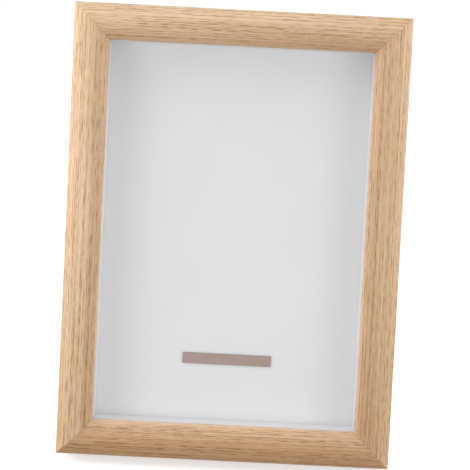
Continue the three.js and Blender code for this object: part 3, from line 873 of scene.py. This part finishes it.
pin_low, pin_high = own_box("strut_pin")
pin_back = (pin_low.y + pin_high.y) / 2
knuckle_r = pin_back - (BOARD_BACK + ROLL_ROOM_GAP)
roll_start = -(knuckle_r + ROLL_ROOM_GAP)
rolled_end = roll_length(knuckle_r)
half = LEAF_W / 2
rivet_holes = [
    circle(RIVET_HOLE_R, HOLE_SIDES, x, -RIVET_FROM_PIN)[::-1] for x in (-RIVET_SPREAD, RIVET_SPREAD)
]
far_end = rounded_end(half, -LEAF_LENGTH, LEAF_CORNER_R)

notch = half - OUTER_KNUCKLE_W + FIT_GAP
board_side = [(half, rolled_end), (notch, rolled_end), (notch, roll_start)]
mesh = rolled(far_end + mirrored(board_side), rivet_holes, knuckle_r)
make_piece("hinge_leaf_on_board", mesh, PIN, "frame", "steel", steel, "strut_board_leaf")
print("board leaf:", len(mesh.polygons), "faces")

tongue = TONGUE_W / 2
slit = tongue + TONGUE_SLOT
knuckle = half - OUTER_KNUCKLE_W - FIT_GAP
inner_r = knuckle_r - LEAF_T
stop_drop = knuckle_r - LEAF_T - ROLL_ROOM_GAP + inner_r * math.cos(strut_open)
tongue_reach = stop_drop / math.sin(strut_open)
leg_side = [(half, roll_start), (knuckle, roll_start), (knuckle, rolled_end), (slit, rolled_end)]
leg_side += [(slit, roll_start), (tongue, roll_start), (tongue, tongue_reach)]
leg_outline = far_end + mirrored(leg_side)
mesh = rolled(leg_outline, rivet_holes, knuckle_r, straight_half=slit - TONGUE_SLOT / 2)
mesh.transform(Matrix.Rotation(math.pi, 4, "X"))
make_piece("hinge_leaf_on_leg", mesh, STRUT, "strut", "steel", steel, "strut_leg_leaf")
print(f"leg leaf: {len(mesh.polygons)} faces, tongue reaches {tongue_reach:.1f} mm past the pin")

# %% [markdown]
# Pins, rivets and screws are round, so they are turned, as on a lathe: a profile of radius and
# height is carried round the y axis in steps, and where the radius is 0 the turn closes in a
# single point. A stack of ready-made cylinders and domes would leave hidden faces inside.

# %% A helper for turned pieces
def turned(name, profile, segments=40):
    """A closed mesh from a profile of (radius, y), carried round the y axis."""
    points, faces, rows = [], [], []
    for radius, y in profile:
        start = len(points)
        steps = segments if radius > 0 else 1
        for step in range(steps):
            angle = 2 * math.pi * step / segments
            points.append((radius * math.cos(angle), y, radius * math.sin(angle)))
        rows.append([start + step % steps for step in range(segments)])
    for row, next_row in zip(rows, rows[1:]):
        faces += band(row, next_row)
    return mesh_from(name, points, faces)


def dome(radius, bottom, height, steps=8, fullness=1.0):
    """The profile of a domed head, from its rim up to the point on the axis."""
    for step in range(steps + 1):
        angle = math.pi / 2 * step / steps
        out = radius * math.cos(angle) ** fullness if step < steps else 0
        yield out, bottom + height * math.sin(angle)


print("a turned bead:", len(turned("bead", [(0, -1), *dome(1, 0, 1)]).polygons), "faces")

# %% [markdown]
# The hinge pin is a length of wire with its two ends peened over, so it can't slide out. Peening
# leaves a low dome at each end, so the profile is a dome, a straight side and the dome's mirror
# image, and the turned pin is then laid along x.

# %% Make the hinge pin
PIN_PEEN = 0.25

pin_r = (pin_high.y - pin_low.y) / 2
pin_half = (pin_high.x - pin_low.x) / 2
profile = list(dome(pin_r, pin_half - PIN_PEEN, PIN_PEEN))
profile = [(radius, -y) for radius, y in reversed(profile)] + profile
pin_mesh = turned("pin", profile)
pin_mesh.transform(Matrix.Rotation(math.pi / 2, 4, "Z"))
make_piece("hinge_pin", pin_mesh, PIN, "frame", "steel", steel, "strut_pin")
print(f"hinge pin {2 * pin_r:.1f} mm across, {2 * pin_half:.0f} mm long")

# %% [markdown]
# Five solid rivets hold the leaves and the strap to the boards: a domed head on the steel, and a
# flat tail set into the board's other face. One profile serves all of them. Each takes its place
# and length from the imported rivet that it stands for.

# %% Make the rivets
RIVET_R = 1.2
RIVET_HEAD_R = 2.2
RIVET_HEAD_H = 0.9
RIVET_HEAD_STEPS = 10
RIVET_HEAD_FULLNESS = 0.8
RIVET_TAIL_R = 1.9
RIVET_TAIL_H = 0.6
RIVET_TAIL_EASE = 0.15
HEAD_SEAT = 0.13


def make_rivet(node, matrix, body):
    """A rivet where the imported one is, its head let down onto the sheet."""
    low, high = box_in(matrix, node)
    neck = high.y - low.y - RIVET_HEAD_H
    seat = neck - HEAD_SEAT
    profile = [(0, 0), (RIVET_TAIL_R - RIVET_TAIL_EASE, 0), (RIVET_TAIL_R, RIVET_TAIL_EASE)]
    profile += [(RIVET_TAIL_R, RIVET_TAIL_H), (RIVET_R, RIVET_TAIL_H), (RIVET_R, seat)]
    profile += [(RIVET_HEAD_R, seat)]
    profile += dome(RIVET_HEAD_R, neck, RIVET_HEAD_H, RIVET_HEAD_STEPS, RIVET_HEAD_FULLNESS)
    middle = Vector(((low.x + high.x) / 2, low.y, (low.z + high.z) / 2))
    place = matrix @ Matrix.Translation(middle)
    make_piece(f"{node}_domed", turned("rivet", profile), place, body, "steel", steel, node)


for node in ("board_rivet_left", "board_rivet_right", "hanger_rivet"):
    make_rivet(node, OWN, "frame")
for node in ("leg_rivet_left", "leg_rivet_right"):
    make_rivet(node, STRUT, "strut")
print("rivets: 5")

# %% [markdown]
# Four turn buttons keep the back in. Each is a teardrop of spring steel with a rib pressed along
# its nose for stiffness. The rib is the sheet itself, pushed up, so both faces move: a fine grid
# is cut into the blank and its points rise by a smooth hump across the rib and along it.

# %% Make the turn buttons
BUTTON_REACH = 11
BUTTON_ROOT_R = 4.5
BUTTON_NOSE_R = 2.2
BUTTON_T = 0.8
RIB_START = 3.6
RIB_END = 11.8
RIB_HALF_W = 1.3
RIB_H = 0.6
RIB_RAMP = 1.6
GRID = 0.22
ROOT_STEPS = 36
NOSE_STEPS = 18
BUTTON_HOLE_SIDES = 28


def smooth(share):
    """0 below 0, 1 above 1, and an even slope between."""
    share = min(max(share, 0), 1)
    return share * share * (3 - 2 * share)


def button_mesh():
    """A turn button with its screw hole at 0 and its nose towards x."""
    lean = math.degrees(math.acos((BUTTON_ROOT_R - BUTTON_NOSE_R) / BUTTON_REACH))
    outline = list(arc((0, 0), BUTTON_ROOT_R, lean, 360 - lean, ROOT_STEPS))
    outline += arc((BUTTON_REACH, 0), BUTTON_NOSE_R, -lean, lean, NOSE_STEPS)
    hole = circle(PILOT_R, BUTTON_HOLE_SIDES)[::-1]
    mesh = stamped([outline, hole], BUTTON_T, SHEET_EDGE)
    across = int(RIB_HALF_W / GRID) + 1
    crossed(mesh, [GRID * line for line in range(-across, across + 1)], (0, 0, 1))
    along = int((RIB_END - RIB_START) / (2 * GRID)) + 1
    crossed(mesh, [RIB_START + 2 * GRID * line for line in range(along + 1)], (1, 0, 0))
    for vertex in mesh.vertices:
        x, _, z = vertex.co
        ends = smooth((x - RIB_START) / RIB_RAMP) * smooth((RIB_END - x) / RIB_RAMP)
        vertex.co.y += RIB_H * ends * smooth(1 - abs(z) / RIB_HALF_W)
    return mesh


for name in (node for node in nodes if node.startswith("turn_button")):
    low, high = own_box(name)
    left = "left" in name
    x = low.x + BUTTON_ROOT_R if left else high.x - BUTTON_ROOT_R
    turn = Matrix.Rotation(0 if left else math.pi, 4, "Y")
    matrix = OWN @ Matrix.Translation((x, low.y, (low.z + high.z) / 2)) @ turn
    body = name.replace("turn_button", "button")
    make_piece(f"pressed_{name}", button_mesh(), matrix, body, "steel", steel, name)

# %% [markdown]
# Each button turns on a pan-head screw with a cross recess. The thread is turned like the rest,
# with its radius rising and falling once every pitch round the shank, and the recess is cut with
# a tapered cross, as the punch leaves it.

# %% Make the screws
SCREW_R = 1.25
SCREW_POINT = 2.5
SCREW_HEAD_R = 2.8
SCREW_HEAD_H = 1.6
SCREW_HEAD_WALL = 0.25
SCREW_HEAD_EASE = 0.1
SCREW_HEAD_STEPS = 12
SCREW_HEAD_FULLNESS = 0.5
THREAD_PITCH = 0.9
THREAD_DEPTH = 0.3
THREAD_ROWS = 66
RECESS_R = 1.5
RECESS_W = 0.5
RECESS_DEEP = 1.0
RECESS_TAPER = 0.5
PUNCH_ABOVE = 0.2
SCREW_SEAT = 0.12


def screw_mesh():
    """A screw along y: its head's underside at y = 0, its point towards -y."""
    shank = [(0, -SCREW_LENGTH)]
    for row in range(1, THREAD_ROWS + 1):
        depth = SCREW_LENGTH * (1 - row / THREAD_ROWS)
        shank.append((SCREW_R * min(1, (SCREW_LENGTH - depth) / SCREW_POINT), -depth))
    head = [(SCREW_HEAD_R - SCREW_HEAD_EASE, 0), (SCREW_HEAD_R, SCREW_HEAD_EASE)]
    crown_h = SCREW_HEAD_H - SCREW_HEAD_WALL
    head += dome(SCREW_HEAD_R, SCREW_HEAD_WALL, crown_h, SCREW_HEAD_STEPS, SCREW_HEAD_FULLNESS)
    mesh = turned("screw", shank + head)
    for vertex in mesh.vertices:
        x, y, z = vertex.co
        if -SCREW_LENGTH < y < -THREAD_PITCH / 2:
            turn = (y / THREAD_PITCH - math.atan2(z, x) / (2 * math.pi)) % 1
            radius = math.hypot(x, z)
            scale = (radius - THREAD_DEPTH * radius / SCREW_R * abs(2 * turn - 1)) / radius
            vertex.co = (x * scale, y, z * scale)
    arm, waist = RECESS_R, RECESS_W / 2
    cross = [(waist, -arm), (waist, -waist), (arm, -waist), (arm, waist), (waist, waist), (waist, arm)]
    cross += [(-x, -z) for x, z in cross]
    bottom = SCREW_HEAD_H - RECESS_DEEP
    punch = prism(cross, SCREW_HEAD_H + PUNCH_ABOVE, bottom, end_scale=RECESS_TAPER)
    return carve(mesh, punch)


for name in (node for node in nodes if node.startswith("turn_screw")):
    low, high = own_box(name)
    middle = ((low.x + high.x) / 2, high.y - SCREW_HEAD_H - SCREW_SEAT, (low.z + high.z) / 2)
    matrix = OWN @ Matrix.Translation(middle)
    make_piece(f"cross_{name}", screw_mesh(), matrix, "frame", "steel", steel, name)

# %% [markdown]
# The hanger is a short strap of the same strip, rolled round one side of a three-cornered wire
# ring. The strap hangs down from its roll, so the hinge's helper bends it and it is turned over.

# %% Make the hanger strap
STRAP_W = 7
STRAP_LENGTH = 11
STRAP_RIVET_DROP = 6.5

eye_r = -box_in(EYE, "hanger_strap")[0].y
half = STRAP_W / 2
outline = rounded_end(half, -STRAP_LENGTH, LEAF_CORNER_R) + mirrored([(half, roll_length(eye_r))])
rivet_hole = circle(RIVET_HOLE_R, HOLE_SIDES, 0, -STRAP_RIVET_DROP)[::-1]
mesh = rolled(outline, [rivet_hole], eye_r)
mesh.transform(Matrix.Rotation(math.pi, 4, "Y"))
make_piece("rolled_hanger_strap", mesh, EYE, "frame", "steel", steel, "hanger_strap")
print(f"strap rolled round an eye of {2 * (eye_r - LEAF_T):.1f} mm")

# %% [markdown]
# The ring is one length of wire, bent at three corners, with its ends meeting inside the strap. A
# curve with a round bevel would do, but a mesh swept along the path keeps the two ends and the
# corners exactly where they are wanted.

# %% Make the ring
WIRE_R = 0.9
RING_W = 16
RING_H = 15
RING_BEND = 3
RING_SPLIT = 0.3
BEND_STEPS = 10
WIRE_SIDES = 20


def ring_path():
    """The middle of the wire, in x and z, from one end round to the other."""
    corners = [Vector((RING_W / 2, 0)), Vector((0, -RING_H)), Vector((-RING_W / 2, 0))]
    ends = [Vector((RING_SPLIT / 2, 0)), Vector((-RING_SPLIT / 2, 0))]
    stops = [ends[0], *corners, ends[1]]
    path = [ends[0]]
    for before, corner, after in zip(stops, stops[1:], stops[2:]):
        start = corner + (before - corner).normalized() * RING_BEND
        end = corner + (after - corner).normalized() * RING_BEND
        path += [Vector(point) for point in bend(start, corner, end, BEND_STEPS)]
    return path + [ends[1]]


path = ring_path()
rings = []
for i, middle in enumerate(path):
    along = (path[min(i + 1, len(path) - 1)] - path[max(i - 1, 0)]).normalized()
    aside = Vector((-along.y, along.x))
    rings.append([])
    for across, y in circle(WIRE_R, WIRE_SIDES):
        out = middle + aside * across
        rings[-1].append((out.x, y, out.y))
mesh = skinned("ring", rings)
make_piece("wire_ring", mesh, RING, "ring", "steel", steel, "hanger_ring")
print("ring:", len(mesh.polygons), "faces")

# %% [markdown]
# The frame stands on a plain floor. In the picture the floor is white to the edges, so what the
# camera and the reflections see of it is a white colour with a little glow. It still takes the
# object's shadow. To all other light the floor is a mid grey, so that it sends only little light
# up under the moulding, as the dark lower rail of the photograph asks.

# %% Lay the floor
FLOOR_HALF = 4.0
FLOOR_GLOW = 0.57
FLOOR_BOUNCE = (0.5, 0.5, 0.5, 1)
FLOOR_WHITE = shade(244, 244, 244)


def seen_directly(tree):
    """1 for what the camera sees, itself or in a reflection or through the glass, else 0."""
    ray = add(tree, "ShaderNodeLightPath")
    seen = ray.outputs["Is Camera Ray"]
    for way in ("Is Glossy Ray", "Is Transmission Ray"):
        seen = maths(tree, "MAXIMUM", seen, ray.outputs[way])
    return seen


floor_paint, tree = new_material("floor")
seen = seen_directly(tree)
glow = add(tree, "ShaderNodeEmission", {"Strength": times(tree, seen, FLOOR_GLOW)})
matte = add(tree, "ShaderNodeBsdfDiffuse", {"Color": blend(tree, seen, FLOOR_BOUNCE, FLOOR_WHITE)})
both = add(tree, "ShaderNodeAddShader", {0: matte, 1: glow})
add(tree, "ShaderNodeOutputMaterial", {"Surface": both})

reach = FLOOR_HALF
corners = [(-reach, -reach, 0), (reach, -reach, 0), (reach, reach, 0), (-reach, reach, 0)]
floor_mesh = bpy.data.meshes.new("floor")
floor_mesh.from_pydata(corners, [], [(0, 1, 2, 3)])
floor_mesh.materials.append(floor_paint)
floor = new_object("floor", floor_mesh)
print("floor:", 2 * FLOOR_HALF, "m square")

# %% [markdown]
# The photograph was taken in a light tent: soft light from all round, the left side the brighter,
# and little from below. The two sides of every rail tell that by their shades. So the world fills
# in evenly, and square lamps stand low on the left and the right, with weaker ones above them and
# in front. None stands near the camera, where it would shine back from the glass. A lamp's two
# angles say how far round it stands from straight ahead, to the right, and how far up. What the
# camera sees of the world, also in a reflection or through the glass, is plain white.

# %% Light the scene
WORLD_FILL = 0.49
LAMP_SIZE = 0.66
LAMP_AWAY = 1.1
MIDDLE = Vector((0, 0, 0.12))
LAMPS = [
    ("left_side", -100, 10, 8.2),
    ("left_above", -70, 35, 3.2),
    ("left_low", -40, 0, 3.4),
    ("right_side", 100, 10, 4.3),
    ("right_above", 70, 35, 2.1),
    ("right_low", 40, 0, 3.5),
    ("overhead", 0, 85, 1.1),
]


def soft_light(name, round_by, up_by, power):
    """A square lamp of a power in watts that faces the frame's middle, placed by its two angles."""
    lamp = bpy.data.lights.new(name, "AREA")
    lamp.size = LAMP_SIZE
    lamp.energy = power
    raised = Matrix.Rotation(-math.radians(up_by), 3, "X") @ Vector((0, -1, 0))
    away = Matrix.Rotation(math.radians(round_by), 3, "Z") @ raised
    lamp_object = new_object(name, lamp)
    lamp_object.location = MIDDLE + LAMP_AWAY * away
    lamp_object.rotation_euler = (-away).to_track_quat("-Z", "Y").to_euler()


for lamp in LAMPS:
    soft_light(*lamp)

world = bpy.data.worlds.new("studio")
bpy.context.scene.world = world
world.use_nodes = True
tree = world.node_tree
tree.nodes.clear()
fill = add(tree, "ShaderNodeBackground", {"Color": (1, 1, 1, 1), "Strength": WORLD_FILL})
white = add(tree, "ShaderNodeBackground", {"Color": (1, 1, 1, 1), "Strength": 1})
seen = seen_directly(tree)
mix = add(tree, "ShaderNodeMixShader", {0: seen, 1: fill, 2: white})
add(tree, "ShaderNodeOutputWorld", {"Surface": mix})
print("lamps:", len(bpy.data.lights), "and a world of", WORLD_FILL)

# %% [markdown]
# The camera's place was solved from the photograph: the moulding's four outer corners, the four
# corners of its opening and those of the panel behind give one point of view. It stands 0.8 m in
# front, a little above and to the left, and is turned slightly on its side. Its angles are
# given against the frame's own axes, in the order roll, pitch, yaw.

# %% Set up the camera
CAMERA_X = -3.2306
CAMERA_IN_FRONT = 800
CAMERA_ABOVE_MIDDLE = 52.4182
CAMERA_PITCH = 0.0633
CAMERA_YAW = -0.0052
CAMERA_ROLL = 0.051
FOCAL_PIXELS = 1523.18
PICTURE_PIXELS = 470
SENSOR = 36

lens = bpy.data.cameras.new("camera")
lens.sensor_width = SENSOR
lens.lens = FOCAL_PIXELS / PICTURE_PIXELS * SENSOR
view = Matrix.Rotation(CAMERA_ROLL, 3, "Z") @ Matrix.Rotation(CAMERA_PITCH, 3, "X")
view = view @ Matrix.Rotation(CAMERA_YAW, 3, "Y") @ Matrix(((1, 0, 0), (0, 0, -1), (0, 1, 0)))
camera_right, camera_down, camera_ahead = view
turn = OWN.to_3x3() @ Matrix((camera_right, -camera_down, -camera_ahead)).transposed()
camera = new_object("camera", lens)
camera_at = OWN @ Vector((CAMERA_X, CROWN - CAMERA_IN_FRONT, OUTER_H / 2 + CAMERA_ABOVE_MIDDLE))
camera.matrix_world = Matrix.Translation(camera_at) @ turn.normalized().to_4x4()
bpy.context.scene.camera = camera
print("camera at", [round(part, 3) for part in camera.location], f"with a {lens.lens:.0f} mm lens")

# %% [markdown]
# The picture's colours are shown as they are, with the Standard view.

# %% Set the view of the colours
bpy.context.scene.view_settings.view_transform = "Standard"
